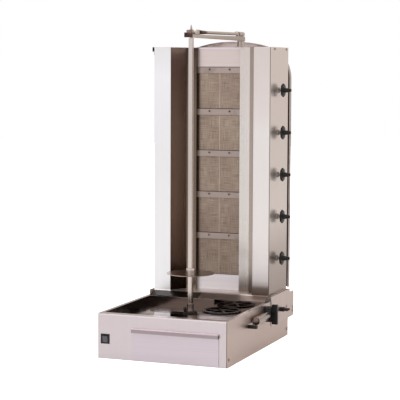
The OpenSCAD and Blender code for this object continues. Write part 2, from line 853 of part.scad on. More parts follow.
base_casing();
base_bottom_plate();
drip_tray();
drain_grille();
rear_deck();
drawer_runners();
gear_motor();
spit_bearing();
switch_bezel();
cable_gland();
guide_tube();
tube_brackets();
base_screws();
clamp_studs();
drawer_pan();
drawer_front();
switch_rocker();
drive_shaft();
spit_socket();
socket_screw();
spit_bar();
meat_disc();
disc_hub();
side_plate_left();
side_plate_right();
left_column();
right_column();
left_reflector();
right_reflector();
tower_top_plate();
tower_bottom_plate();
back_panel();
upper_panel();
lower_panel();
burner_box_1();
burner_box_2();
burner_box_3();
burner_box_4();
burner_box_5();
burner_meshes();
ceramic_plaques();
bracket_strips();
gas_manifold();
tap_bodies();
feed_pipes();
rear_cover();
cover_spacers();
arm_post();
tower_screws();
shield_hook();
tap_knob_1();
tap_knob_2();
tap_knob_3();
tap_knob_4();
tap_knob_5();
arm_bar();
keeper_block();
keeper_rod();
clamp_knob();
clamp_lever();
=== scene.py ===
# %% [markdown]
# # An upright rotisserie broiler in stainless steel
#
# The real object is folded sheet: a base box with a drip tray, a tower with five wire-faced burners
# between two polished wings, and a square spit held at the top by a swing-over arm. The sheet metal
# carries the look, so most of this lesson is about steel: its tone, its gloss and its grain. The
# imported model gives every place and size. It could be drawn again by hand here, but then nothing
# would fit the joints, so the frame's own pieces are dressed, and what is added starts from the box
# of the piece that it sits on.

# %% The frame
import json
import math

import bmesh
import bpy
from mathutils import Matrix, Vector


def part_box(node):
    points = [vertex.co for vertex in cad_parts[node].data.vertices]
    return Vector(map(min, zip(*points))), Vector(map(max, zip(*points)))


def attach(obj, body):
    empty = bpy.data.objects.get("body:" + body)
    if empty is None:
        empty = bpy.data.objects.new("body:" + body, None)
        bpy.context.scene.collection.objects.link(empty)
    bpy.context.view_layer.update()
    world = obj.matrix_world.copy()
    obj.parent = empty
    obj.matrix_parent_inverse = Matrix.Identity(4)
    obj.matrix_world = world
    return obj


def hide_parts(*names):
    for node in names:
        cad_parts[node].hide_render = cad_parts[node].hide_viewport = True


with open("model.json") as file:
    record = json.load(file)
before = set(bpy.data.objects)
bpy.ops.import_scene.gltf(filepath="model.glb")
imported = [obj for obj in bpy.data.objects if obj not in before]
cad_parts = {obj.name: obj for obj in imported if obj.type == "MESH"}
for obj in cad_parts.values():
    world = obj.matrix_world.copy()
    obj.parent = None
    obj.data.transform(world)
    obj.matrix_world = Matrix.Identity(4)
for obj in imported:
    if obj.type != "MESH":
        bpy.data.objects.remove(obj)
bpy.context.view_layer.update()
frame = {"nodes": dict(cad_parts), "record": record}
MM = 0.001
scene = bpy.context.scene

# %% [markdown]
# ## Small tools
#
# Colours are written as sRGB hex, the way a paint chart gives them, and one function turns them to
# the linear values that shaders use. Another adds a node, sets its inputs and links them, which
# keeps each material down to the few lines that say what its surface is.

# %% Helpers


def linear(code, alpha=1.0):
    """An sRGB hex colour as linear RGBA."""
    parts = [int(code[i : i + 2], 16) / 255 for i in (1, 3, 5)]
    curved = [c / 12.92 if c <= 0.04045 else ((c + 0.055) / 1.055) ** 2.4 for c in parts]
    return curved + [alpha]


def add(tree, kind, settings=None, **inputs):
    """Adds a node; an input's value is a number, a colour or another node's output."""
    made = tree.nodes.new(kind)
    for name, value in (settings or {}).items():
        setattr(made, name, value)
    for name, value in inputs.items():
        key = int(name[1:]) if name[0] == "i" and name[1:].isdigit() else name.replace("_", " ")
        socket = made.inputs[key]
        if isinstance(value, bpy.types.NodeSocket):
            tree.links.new(value, socket)
        else:
            socket.default_value = value
    return made


def new_material(name):
    """An empty material with its tree, its main shader and its surface's coordinates in metres."""
    material = bpy.data.materials.new(name)
    material.use_nodes = True
    tree = material.node_tree
    tree.nodes.clear()
    shader = add(tree, "ShaderNodeBsdfPrincipled")
    out = add(tree, "ShaderNodeOutputMaterial")
    tree.links.new(shader.outputs["BSDF"], out.inputs["Surface"])
    where = add(tree, "ShaderNodeTexCoord").outputs["Object"]
    return material, tree, shader, where


def link(tree, source, shader, name):
    tree.links.new(source, shader.inputs[name])


def blend_colours(tree, factor, first, second, mode="MIX"):
    """Mixes two colours by factor, each a hex code or an output."""
    mix = add(tree, "ShaderNodeMix", {"data_type": "RGBA", "blend_type": mode})
    for socket, value in ((mix.inputs[0], factor), (mix.inputs[6], first), (mix.inputs[7], second)):
        if isinstance(value, bpy.types.NodeSocket):
            tree.links.new(value, socket)
        else:
            socket.default_value = linear(value) if isinstance(value, str) else value
    return mix.outputs[2]


def ramp(tree, factor, stops, smooth=False):
    """A colour ramp from (place, hex) stops."""
    made = add(tree, "ShaderNodeValToRGB", Fac=factor)
    made.color_ramp.interpolation = "EASE" if smooth else "LINEAR"
    while len(made.color_ramp.elements) < len(stops):
        made.color_ramp.elements.new(0.5)
    for element, (place, code) in zip(made.color_ramp.elements, stops):
        element.position = place
        element.color = linear(code)
    return made.outputs["Color"]


# %% [markdown]
# ## The camera
#
# A long lens from a few metres away keeps the uprights nearly parallel, which is how catering
# equipment is usually shown. It stands to the right of the machine, a little lower than its top, so
# the tray is seen as a thin slice and the top plate isn't seen at all.

# %% Camera
CAMERA_PLACE = (1.9418, -5.0087, 1.0417)
CAMERA_TURN = 21.09
CAMERA_DIP = 5.16
CAMERA_ROLL = 0.22
LENS_MM = 128.9

camera_data = bpy.data.cameras.new("camera")
camera_data.sensor_width = 36.0
camera_data.lens = LENS_MM
camera_data.clip_end = 60.0
camera = bpy.data.objects.new("camera", camera_data)
scene.collection.objects.link(camera)
camera.matrix_world = (
    Matrix.Translation(CAMERA_PLACE)
    @ Matrix.Rotation(math.radians(CAMERA_TURN), 4, "Z")
    @ Matrix.Rotation(math.radians(90 - CAMERA_DIP), 4, "X")
    @ Matrix.Rotation(math.radians(CAMERA_ROLL), 4, "Z")
)
scene.camera = camera
print("camera at", CAMERA_PLACE, "with a", LENS_MM, "mm lens")

# %% [markdown]
# ## The room
#
# Polished steel has almost no colour of its own: it shows the room. A white room with a few large
# dark areas is what gives folded sheet its pale faces and brown-black stripes. Cards on stands
# could do it, but they would stand in the way of every other view, so the room is painted on the
# world by compass direction, and only reflections and light see it. Seen straight, the world is
# plain white.

# %% World
scene.view_settings.view_transform = "Standard"
world = bpy.data.worlds.new("studio")
scene.world = world
world.use_nodes = True
sky = world.node_tree
sky.nodes.clear()


def compass(tree):
    """The direction's heading, 0 to 1 clockwise seen from above, and its height, -1 to 1."""
    direction = add(tree, "ShaderNodeTexCoord").outputs["Generated"]
    x, y, z = add(tree, "ShaderNodeSeparateXYZ", Vector=direction).outputs
    flip_x = add(tree, "ShaderNodeMath", {"operation": "MULTIPLY"}, i0=x, i1=-1.0).outputs[0]
    turn = add(tree, "ShaderNodeMath", {"operation": "ARCTAN2"}, i0=flip_x, i1=y).outputs[0]
    scaled = add(
        tree, "ShaderNodeMath", {"operation": "MULTIPLY_ADD"}, i0=turn, i1=-0.5 / math.pi, i2=0.5
    )
    return scaled.outputs[0], z


# Heading 0 is -Y, 0.25 is -X, 0.5 is +Y and 0.75 is +X.
ROOM_STOPS = [
    (0.00, "#F4F1F2"),
    (0.10, "#F6F3F4"),
    (0.20, "#8C817B"),
    (0.30, "#54493F"),
    (0.42, "#B9AFA8"),
    (0.52, "#E2DBD6"),
    (0.62, "#DDD5CF"),
    (0.70, "#D6CDC7"),
    (0.80, "#CFC6C0"),
    (0.90, "#DAD3D0"),
    (1.00, "#F4F1F2"),
]
heading, height = compass(sky)
wall = ramp(sky, heading, ROOM_STOPS)
CEILING = ("#F3F1F0", 0.25, 0.8)  # its colour, and the heights where it starts and is reached
GROUND = ("#BDB5B0", -0.02, -0.3)
room = wall
for colour, start, full in (CEILING, GROUND):
    share = add(sky, "ShaderNodeMapRange", {"clamp": True}, Value=height, i1=start, i2=full)
    room = blend_colours(sky, share.outputs[0], room, colour)
room_light = add(sky, "ShaderNodeBackground", Color=room, Strength=1.0).outputs[0]
plain_light = add(sky, "ShaderNodeBackground", Color=linear("#FFFFFF"), Strength=1.0).outputs[0]
seen = add(sky, "ShaderNodeLightPath").outputs["Is Camera Ray"]
choose = add(sky, "ShaderNodeMixShader", Fac=seen, i1=room_light, i2=plain_light)
add(sky, "ShaderNodeOutputWorld", Surface=choose.outputs[0])
print("room painted in", len(ROOM_STOPS), "headings")

# %% [markdown]
# ## Lamps and floor
#
# One broad lamp high at the front left lights the faces, and a weaker one at the right lifts the
# side. The floor is white vinyl, lit from behind as on a product table, so that no shadow pulls the
# eye from the machine. Only straight sight sees that glow: the steel reflects a matt white sheet.

# %% Lamps and floor


def soft_lamp(name, place, aim, size, watts):
    data = bpy.data.lights.new(name, "AREA")
    data.shape = "DISK"
    data.size = size
    data.energy = watts
    lamp = bpy.data.objects.new(name, data)
    scene.collection.objects.link(lamp)
    lamp.location = place
    lamp.rotation_euler = (Vector(aim) - Vector(place)).to_track_quat("-Z", "Y").to_euler()
    return lamp


LAMP_AIM = (0, 0, 0.6)
soft_lamp("key_lamp", (-1.6, -3.2, 3.4), LAMP_AIM, 2.4, 60)
soft_lamp("side_lamp", (3.2, 0.6, 2.2), LAMP_AIM, 2.0, 22)

FLOOR_HALF = 14.0
FLOOR_DROP_MM = 0.5  # keeps the floor clear of the base's underside
floor_mesh = bpy.data.meshes.new("floor")
corners = [(x * FLOOR_HALF, y * FLOOR_HALF, 0) for x, y in ((-1, -1), (1, -1), (1, 1), (-1, 1))]
floor_mesh.from_pydata(corners, [], [(0, 1, 2, 3)])
floor = bpy.data.objects.new("floor", floor_mesh)
floor.location.z = -FLOOR_DROP_MM * MM
scene.collection.objects.link(floor)
vinyl, tree, shader, where = new_material("white_backlit_vinyl")
shader.inputs["Base Color"].default_value = linear("#F4F2F1")
shader.inputs["Roughness"].default_value = 0.9
shader.inputs["Specular IOR Level"].default_value = 0.1
shader.inputs["Emission Color"].default_value = linear("#FFFFFF")
lit = add(tree, "ShaderNodeLightPath").outputs["Is Camera Ray"]
link(tree, lit, shader, "Emission Strength")
floor_mesh.materials.append(vinyl)
print("floor", 2 * FLOOR_HALF, "m wide, lamps", [lamp.name for lamp in bpy.data.lights])

# %% [markdown]
# ## Folded stainless sheet
#
# Catering sheet is 304 stainless, rolled with a fine one-way grain and sold with a satin face. The
# grain scatters light across itself, so reflections are soft, and long faint streaks run along it.
# Fingerprints and wiping leave slow changes of gloss. A sheet's tone also drifts along it, with the
# light that it faces. That could be left to lamps, but each one would change every other sheet too,
# so each sheet has painted light and shade by place, which stay on it from any side. One function
# makes the grain for all of them.

# %% Sheet finishes
GRAIN_MM = 1.6  # real grain is under 0.1 mm: drawn coarser so that it shows
SMUDGE_MM = 140.0
STREAK_TINT = "#B0A8A6"
# The width of the painted shade line along each fold, and its colour.
FOLD_MM = 3.0
FOLD_SHADE_TONE = "#7A6E68"


def place_ramp(tree, where, axis, stops):
    """Colours by place along one axis, from (metres, hex) stops in rising order."""
    split = add(tree, "ShaderNodeSeparateXYZ", Vector=where).outputs[axis]
    low, high = stops[0][0], stops[-1][0]
    reach = add(tree, "ShaderNodeMapRange", Value=split, i1=low, i2=high).outputs[0]
    return ramp(tree, reach, [((at - low) / (high - low), code) for at, code in stops])


def beyond(tree, where, axis, limit, blur=0.001):
    """0 below the limit along an axis and 1 above it, in metres."""
    split = add(tree, "ShaderNodeSeparateXYZ", Vector=where).outputs[axis]
    return add(tree, "ShaderNodeMapRange", Value=split, i1=limit - blur, i2=limit + blur).outputs[0]


def sheet_grain(tree, shader, where, gloss, along, grain, smudge, streak, colour):
    """Gives a sheet its rolled grain: fine changes of roughness, and streaks in the colour."""
    across = 1.0 / (GRAIN_MM * MM)
    stretch = [across if axis != along else across / 300 for axis in "XYZ"]
    grain_at = add(tree, "ShaderNodeMapping", Vector=where, Scale=stretch).outputs[0]
    noise = add(tree, "ShaderNodeTexNoise", Vector=grain_at, Scale=1.0, Detail=3.0, Roughness=0.6)
    lines = noise.outputs[0]
    smudge_scale = 1 / (SMUDGE_MM * MM)
    clouds = add(tree, "ShaderNodeTexNoise", Vector=where, Scale=smudge_scale, Detail=3.0)
    rough_lines = add(
        tree, "ShaderNodeMapRange", Value=lines, i1=0.3, i2=0.7, i3=gloss - grain, i4=gloss + grain
    )
    rough = add(
        tree, "ShaderNodeMath", {"operation": "MULTIPLY_ADD"},
        i0=clouds.outputs[0], i1=smudge, i2=rough_lines.outputs[0],
    )
    link(tree, rough.outputs[0], shader, "Roughness")
    part = add(tree, "ShaderNodeMapRange", Value=lines, i1=0.35, i2=0.65, i3=0.0, i4=streak)
    streaked = blend_colours(tree, part.outputs[0], colour, STREAK_TINT, "MULTIPLY")
    link(tree, streaked, shader, "Base Color")


def steel_sheet(name, stops, axis, gloss, along, metal=1.0):
    """Satin stainless whose tone changes slowly along one axis."""
    material, tree, shader, where = new_material(name)
    shader.inputs["Metallic"].default_value = metal
    tone = place_ramp(tree, where, axis, stops)
    sheet_grain(tree, shader, where, gloss, along, 0.03, 0.05, 0.1, tone)
    return material


def column_steel(name, front, side, corner, gloss=0.3):
    """A folded sheet's front face, and its side beyond the corner, each with its own painted light
    and shade by height.
    """
    material, tree, shader, where = new_material(name)
    shader.inputs["Metallic"].default_value = 1.0
    turned = beyond(tree, where, "X", corner, 0.0006)
    front_tone, side_tone = (place_ramp(tree, where, "Z", stops) for stops in (front, side))
    tone = blend_colours(tree, turned, front_tone, side_tone)
    # A thin dark line of painted shade runs along the outside of the fold, where the corner turns
    # from the light.
    past = beyond(tree, where, "X", corner + FOLD_MM * MM, 0.0004)
    on_fold = add(tree, "ShaderNodeMath", {"operation": "SUBTRACT"}, i0=turned, i1=past).outputs[0]
    tone = blend_colours(tree, on_fold, tone, FOLD_SHADE_TONE)
    sheet_grain(tree, shader, where, gloss, "Z", 0.02, 0.03, 0.05, tone)
    return material


# %% [markdown]
# ## The sheet pieces
#
# The finish is the same satin everywhere, and the tones are painted reflection and shade of what
# each sheet faces. The columns are the palest, the side plates warmer, and the lip of the drawer
# has painted shade of its own.
# Hidden sheet is galvanised: greyer, rougher and even. A metal keeps the usual IOR, and its colour
# is what it reflects.

# %% Sheet pieces
CASING_CORNER = 0.2460  # where the fronts turn into sides, in metres
COLUMN_CORNER = 0.2345

satin_sheet = steel_sheet(
    "satin_stainless_sheet",
    [(-0.25, "#E0D6DA"), (-0.14, "#D8CDD2"), (0.05, "#DCD2D8"), (0.25, "#E4DAE0")],
    "X", 0.36, "X",
)
# Painted light: a painted highlight along the front's top edge, and a darker, warmer side past the
# corner.
casing_sheet = column_steel(
    "casing_sheet",
    [(0.0, "#DBD3D7"), (0.159, "#D9D0D4"), (0.163, "#EEE8EA")],
    [(0.0, "#CAB9B1"), (0.15, "#C4B3AB")],
    CASING_CORNER, 0.36,
)
plate_sheet = steel_sheet(
    "side_plate_sheet", [(0.05, "#CBBCB5"), (0.2, "#CDBFB8")], "Z", 0.36, "Z"
)
# The dark steps between 101.5 and 119 mm are painted shade on the underside and face of the drawer's
# lip.
drawer_sheet = steel_sheet(
    "drawer_front_sheet",
    [
        (0.0, "#DCD4DB"), (0.1015, "#D8CFD7"),
        (0.1025, "#AFA2A6"), (0.112, "#A99CA1"), (0.119, "#C0B4B9"),
    ],
    "Z", 0.38, "X",
)
# Painted light: a near-white front that greys towards the top, and a darker side past the corner.
left_sheet = column_steel(
    "left_column_sheet",
    [(0.2, "#F6F7FA"), (1.02, "#F5F6F9"), (1.13, "#E8E8EA")],
    [(0.2, "#DDD6D2"), (1.1, "#DDD6D2")],
    COLUMN_CORNER,
)
# Low down this column faces the dark deck, so its foot is painted brown as a reflection of it; its
# side is painted darker low down.
right_sheet = column_steel(
    "right_column_sheet",
    [
        (0.184, "#6E5F56"), (0.212, "#8E8078"), (0.224, "#D6CFCD"), (0.24, "#EFECEB"),
        (0.80, "#EDEAE8"), (0.9, "#E6DFDC"), (1.13, "#D9D0CC"),
    ],
    [(0.2, "#A2948B"), (0.33, "#B8ABA2"), (0.5, "#E6DCD6"), (1.13, "#E4DAD4")],
    COLUMN_CORNER,
)
inner_sheet = steel_sheet("galvanised_sheet", [(0.0, "#B0ADA9"), (1.0, "#A8A5A1")], "Z", 0.5, "Y")
plain_panel = steel_sheet(
    "burner_panel_sheet",
    [(0.18, "#EFE9EC"), (0.25, "#F6F2F6"), (0.6, "#DCD2D2"), (1.13, "#D2C5C2")],
    "Z", 0.45, "X", metal=0.6,
)
print("sheet grain drawn", GRAIN_MM, "mm wide, smudges", SMUDGE_MM, "mm")

# %% [markdown]
# ## Reflectors, tray and polished bar
#
# The wings beside the burners are polished, and their browns and blacks are painted reflections,
# darkest at the foot. A wing and the stile at its edge are one folded sheet, so one material gives
# both their tones. The spit and its disc are drawn bar and turned plate, buffed until they are nearly
# mirrors.

# %% Polished and heat-tinted steel
TINT_MM = 90.0
STILE_EDGE = 0.1305  # where the stile beside the burners ends and the wing starts, in metres


def polished_steel(name, clean, tint, gloss, amount):
    """Mirror-polished steel with a film of tint over part of it."""
    material, tree, shader, where = new_material(name)
    shader.inputs["Metallic"].default_value = 1.0
    film_scale = 1 / (TINT_MM * MM)
    film = add(
        tree, "ShaderNodeTexNoise", Vector=where, Scale=film_scale, Detail=6.0, Roughness=0.62
    ).outputs[0]
    patch = add(
        tree, "ShaderNodeMapRange", Value=film, i1=0.62 - amount, i2=0.8 - amount * 0.6
    ).outputs[0]
    link(tree, blend_colours(tree, patch, clean, tint), shader, "Base Color")
    fine = add(tree, "ShaderNodeTexNoise", Vector=where, Scale=600.0, Detail=2.0).outputs[0]
    times = {"operation": "MULTIPLY_ADD"}
    dull = add(tree, "ShaderNodeMath", times, i0=patch, i1=0.16, i2=gloss).outputs[0]
    rough = add(tree, "ShaderNodeMath", times, i0=fine, i1=0.05, i2=dull).outputs[0]
    link(tree, rough, shader, "Roughness")
    return material


def reflection_painted_sheet(name, stile, wing, edge, gloss):
    """A reflector: its stile beside the burners, and its wing beyond the edge, with painted
    reflections.
    """
    material, tree, shader, where = new_material(name)
    shader.inputs["Metallic"].default_value = 1.0
    outside = beyond(tree, where, "X", edge, 0.0008)
    sides = (wing, stile) if edge < 0 else (stile, wing)
    first, second = (place_ramp(tree, where, "Z", stops) for stops in sides)
    tone = blend_colours(tree, outside, first, second)
    sheet_grain(tree, shader, where, gloss, "Z", 0.03, 0.05, 0.12, tone)
    return material


# Painted reflections: browns over the wing, near black at its foot, darker at the stile's top.
left_wing = reflection_painted_sheet(
    "left_reflector_painted_reflections",
    [(0.2, "#7A6B5E"), (0.9, "#76695B"), (1.08, "#5A4C42"), (1.13, "#463A33")],
    [
        (0.19, "#1E1612"), (0.26, "#4A3C33"), (0.30, "#7A695D"), (0.5, "#8D7B6F"),
        (0.8, "#918075"), (1.0, "#84736A"), (1.13, "#75645C"),
    ],
    -STILE_EDGE, 0.2,
)
# Painted reflections: a pale stile and a browner wing, both darker at the foot.
right_wing = reflection_painted_sheet(
    "right_reflector",
    [(0.19, "#8B7E77"), (0.205, "#A89C95"), (0.25, "#EEEAE6"), (0.8, "#F0ECE8"), (1.13, "#E6DDD8")],
    [(0.19, "#6A5B51"), (0.23, "#8F7F76"), (0.3, "#B7A69C"), (0.8, "#BBABA2"), (1.13, "#B2A49D")],
    STILE_EDGE, 0.26,
)
print("wings start", STILE_EDGE, "m from the middle")

# %% [markdown]
# ## The drip tray
#
# The tray is the same sheet, dulled by hot fat that leaves thin brown films. It is wiped bright in
# the middle. The inside of its left wall has a painted black reflection, its rear wall a painted
# brown one, and its rim a painted highlight. A paint mask for each zone would need its own image,
# so each zone is told apart by where it lies on the tray.

# %% Tray
TRAY_LEFT_WALL = -0.2335
TRAY_REAR_WALL = 0.0925
TRAY_RIM = 0.1655


def tray_finish():
    """The tray: bright where fat is wiped off, with painted reflections on its walls and rim."""
    material, tree, shader, where = new_material("greasy_tray_with_painted_reflections")
    shader.inputs["Metallic"].default_value = 1.0
    film = add(
        tree, "ShaderNodeTexNoise", Vector=where, Scale=9.0, Detail=5.0, Roughness=0.6
    ).outputs[0]
    patch = add(tree, "ShaderNodeMapRange", Value=film, i1=0.42, i2=0.62).outputs[0]
    tone = blend_colours(tree, patch, "#B9ACA9", "#8C7D78")
    minus, times = {"operation": "SUBTRACT"}, {"operation": "MULTIPLY_ADD"}
    # Painted reflections by place: black inside the left wall below the rim, brown on the rear wall,
    # and a painted highlight on the rim.
    inward = beyond(tree, where, "X", TRAY_LEFT_WALL)
    rim = beyond(tree, where, "Z", TRAY_RIM, 0.0004)
    left = add(tree, "ShaderNodeMath", minus, i0=1.0, i1=inward).outputs[0]
    under = add(tree, "ShaderNodeMath", minus, i0=1.0, i1=rim).outputs[0]
    painted_dark_wall = add(tree, "ShaderNodeMath", {"operation": "MULTIPLY"}, i0=left, i1=under).outputs[0]
    tone = blend_colours(tree, painted_dark_wall, tone, "#1A1410")
    tone = blend_colours(tree, beyond(tree, where, "Y", TRAY_REAR_WALL), tone, "#75665F")
    tone = blend_colours(tree, rim, tone, "#D9D0D0")
    link(tree, tone, shader, "Base Color")
    dull = add(tree, "ShaderNodeMath", times, i0=patch, i1=0.1, i2=0.05).outputs[0]
    rough = add(tree, "ShaderNodeMath", times, i0=rim, i1=0.2, i2=dull).outputs[0]
    link(tree, rough, shader, "Roughness")
    slow = add(tree, "ShaderNodeTexNoise", Vector=where, Scale=7.0, Detail=1.0).outputs[0]
    bump = add(tree, "ShaderNodeBump", Height=slow, Strength=0.3, Distance=0.002)
    link(tree, bump.outputs[0], shader, "Normal")
    return material


tray_steel = tray_finish()
DECK_SPLIT = -0.035  # left of this the deck behind the tray is painted black as a reflection, in metres
# Painted reflections: brown bands, black left of the split, and a painted highlight along the top
# edge.
deck_steel = reflection_painted_sheet(
    "deck_steel_painted_reflections",
    [(0.166, "#8B7D77"), (0.174, "#7A6C66"), (0.181, "#857771"), (0.1832, "#C9C0BB")],
    [(0.166, "#1C1612"), (0.1815, "#241D18"), (0.1835, "#CFC7C2")],
    DECK_SPLIT, 0.4,
)
print("tray rim above", TRAY_RIM, "m, deck split at", DECK_SPLIT, "m")

# %% [markdown]
# ## Spit, arm and small steel
#
# Bar stock is smoother than sheet, so its gloss is higher and its tones run lengthways. The arm's
# finger has painted shade for the shadow on its underside, and the keeper's grip is browned where it
# stands over the heat. The rear cover and the strips are plain sheet with a thin film of tint, and
# the screws are zinc-plated.

# %% Bars, cover and screws
bar_steel = steel_sheet(
    "buffed_bar_steel",
    [(0.14, "#A89C95"), (0.2, "#D6CDC7"), (1.16, "#D8CFC9"), (1.175, "#A39892"), (1.22, "#8F847E")],
    "Z", 0.16, "Z",
)
# Painted light and shade: the disc is lighter to the left and darker to the right.
disc_steel = steel_sheet(
    "buffed_disc_steel",
    [(-0.1, "#C5BAB3"), (0.0, "#B0A39B"), (0.03, "#7C6D64"), (0.1, "#6E6057")],
    "X", 0.14, "Y",
)
# Painted shade: the finger at the front of the arm is dark as if in shadow.
arm_steel = steel_sheet(
    "satin_bar_steel",
    [(-0.12, "#4E3E37"), (-0.0935, "#57463F"), (-0.0915, "#C9BEB6"), (0.3, "#B8ACA4")],
    "Y", 0.28, "Y",
)
rod_steel = steel_sheet(
    "keeper_rod_steel",
    [
        (-0.07, "#2C221D"), (-0.036, "#2C221D"), (-0.034, "#5B463B"),
        (-0.003, "#6E584C"), (0.012, "#C4B8B0"), (0.3, "#CBBFB7"),
    ],
    "Y", 0.25, "Y",
)
cover_steel = polished_steel("rear_cover_steel", "#B9ACA6", "#93857E", 0.3, 0.1)
strip_steel = polished_steel("heat_dulled_strip_steel", "#A89A94", "#8E817B", 0.4, 0.1)
screw_steel = polished_steel("zinc_plated_screw_steel", "#9B948F", "#6E6660", 0.3, 0.05)
print("heat tint drifts over", TINT_MM, "mm")

# %% [markdown]
# ## Wire gauze
#
# The burners are faced with a plain weave of heat-proof wire, gone brown-grey in the flame.
# Modelled wire by wire it would be half a million faces, so the weave is drawn in the shader: one
# set of long thin streaks across and one up, each a little uneven, as woven wire is. The real pitch
# is near 1.2 mm. It is drawn coarser so that it can be seen at all. A seam runs up the middle,
# where two widths of gauze are joined.

# %% Gauze
WEAVE_MM = 2.0  # real wires are 1.2 mm apart: drawn wider so that they show
SEAM_HALF_MM = 1.6
# The band, from the middle, over which the gauze darkens towards its side edges.
EDGE_DARK_FROM, EDGE_DARK_TO = 0.076, 0.085  # from the middle, in metres


def streaks(tree, where, along):
    """Uneven parallel wires: thin across, long along the given axis."""
    fine = 1 / (WEAVE_MM * MM)
    stretch = [fine / 24 if axis == along else fine for axis in "XYZ"]
    at = add(tree, "ShaderNodeMapping", Vector=where, Scale=stretch).outputs[0]
    noise = add(tree, "ShaderNodeTexNoise", Vector=at, Scale=1.0, Detail=1.0, Roughness=0.5)
    return noise.outputs[0]


def wire_gauze():
    """Woven heat-proof wire: dull brown-grey, so half metal and rough."""
    material, tree, shader, where = new_material("oxidised_wire_gauze")
    shader.inputs["Metallic"].default_value = 0.35
    across, up = streaks(tree, where, "X"), streaks(tree, where, "Z")
    weave = add(tree, "ShaderNodeMath", {"operation": "ADD"}, i0=across, i1=up).outputs[0]
    cells = add(tree, "ShaderNodeMapRange", Value=weave, i1=0.72, i2=1.28).outputs[0]
    soot = add(
        tree, "ShaderNodeTexNoise", Vector=where, Scale=11.0, Detail=3.0, Roughness=0.5
    ).outputs[0]
    warm = ramp(tree, soot, [(0.3, "#A8968A"), (0.5, "#B2A194"), (0.7, "#B9AB9D")])
    shade = ramp(tree, cells, [(0.0, "#BAB0A8"), (0.5, "#DEDAD6"), (1.0, "#F6F4F2")])
    tone = blend_colours(tree, 1.0, warm, shade, "MULTIPLY")
    # Distance from the middle, so that the seam and the darker side edges can be told apart.
    x = add(tree, "ShaderNodeSeparateXYZ", Vector=where).outputs["X"]
    off = add(tree, "ShaderNodeMath", {"operation": "ABSOLUTE"}, i0=x).outputs[0]
    seam = add(
        tree, "ShaderNodeMapRange", Value=off, i1=SEAM_HALF_MM * MM, i2=0.3 * MM, i3=0.0, i4=0.55
    ).outputs[0]
    tone = blend_colours(tree, seam, tone, "#D6CABF")
    # Darker towards both side edges.
    edge = add(
        tree, "ShaderNodeMapRange", Value=off, i1=EDGE_DARK_FROM, i2=EDGE_DARK_TO, i3=0.0, i4=0.35
    ).outputs[0]
    link(tree, blend_colours(tree, edge, tone, "#6B5E53"), shader, "Base Color")
    shader.inputs["Roughness"].default_value = 0.62
    bump = add(tree, "ShaderNodeBump", Height=weave, Strength=0.5, Distance=0.0008)
    link(tree, bump.outputs[0], shader, "Normal")
    return material


gauze = wire_gauze()
print("gauze drawn at", WEAVE_MM, "mm")

# %% [markdown]
# ## Moulded, enamelled and painted pieces
#
# The knobs are black phenolic, a thermoset that keeps a faint pebble from its mould. The grille
# and the dark fittings are enamelled or painted iron, a little browner where they have been hot.
# These reflect white light weakly over a body colour. The burner boxes and the gas pipes are
# metals, made by the same function with its metallic value raised.

# %% Plastics, enamel, paint, ceramic and brass


def coated(name, base, worn, gloss, pebble_mm, bump_strength, metallic=0.0):
    """A body colour with a fine surface texture and slight wear."""
    material, tree, shader, where = new_material(name)
    shader.inputs["Metallic"].default_value = metallic
    shader.inputs["Specular IOR Level"].default_value = 0.35
    pebble = add(
        tree, "ShaderNodeTexNoise", Vector=where, Scale=1 / (pebble_mm * MM), Detail=2.0
    ).outputs[0]
    wear = add(
        tree, "ShaderNodeTexNoise", Vector=where, Scale=45.0, Detail=5.0, Roughness=0.7
    ).outputs[0]
    amount = add(tree, "ShaderNodeMapRange", Value=wear, i1=0.5, i2=0.75).outputs[0]
    link(tree, blend_colours(tree, amount, base, worn), shader, "Base Color")
    rough = add(
        tree, "ShaderNodeMapRange", Value=wear, i1=0.3, i2=0.7, i3=gloss - 0.06, i4=gloss + 0.08
    ).outputs[0]
    link(tree, rough, shader, "Roughness")
    bump = add(tree, "ShaderNodeBump", Height=pebble, Strength=bump_strength, Distance=0.0003)
    link(tree, bump.outputs[0], shader, "Normal")
    return material


# Knobs and switch: near black, with soft highlights; the switch plastics are the glossier.
phenolic = coated("black_phenolic", "#0B0908", "#171412", 0.42, 1.2, 0.2)
switch_plastic = coated("black_polyamide", "#0E0E0F", "#19191A", 0.25, 1.5, 0.1)
rocker_plastic = coated("grey_polyamide", "#57575B", "#636367", 0.32, 1.5, 0.1)
# Grille and dark fittings: glassy enamel on one, satin paint on the other.
enamel = coated("black_vitreous_enamel", "#12100E", "#2B231E", 0.2, 4.0, 0.15)
iron_paint = coated("black_brown_iron_paint", "#17110E", "#30261F", 0.42, 1.5, 0.25)
motor_paint = coated("grey_hammered_paint", "#4A4D50", "#5B5F63", 0.38, 3.0, 0.4)
# Inside the tower: scaled steel, chalky ceramic and bright pipe.
burner_steel = coated("scaled_burner_steel", "#5A4C42", "#3B322C", 0.6, 2.0, 0.3, metallic=0.6)
ceramic = coated("cordierite_ceramic", "#D8CBB2", "#C2AE90", 0.85, 1.5, 0.4)
brass = coated("drawn_brass_pipe", "#B5914C", "#8C6A34", 0.3, 2.0, 0.1, metallic=1.0)
print("finishes made so far:", len(bpy.data.materials))

# %% [markdown]
# ## Dressing the frame
#
# Each piece of the frame is one material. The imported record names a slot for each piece, so a table
# from slot to finish dresses them all, and a piece added later falls into the right one. A second
# table then gives some pieces a finish of their own, where the slot's common one is too even.

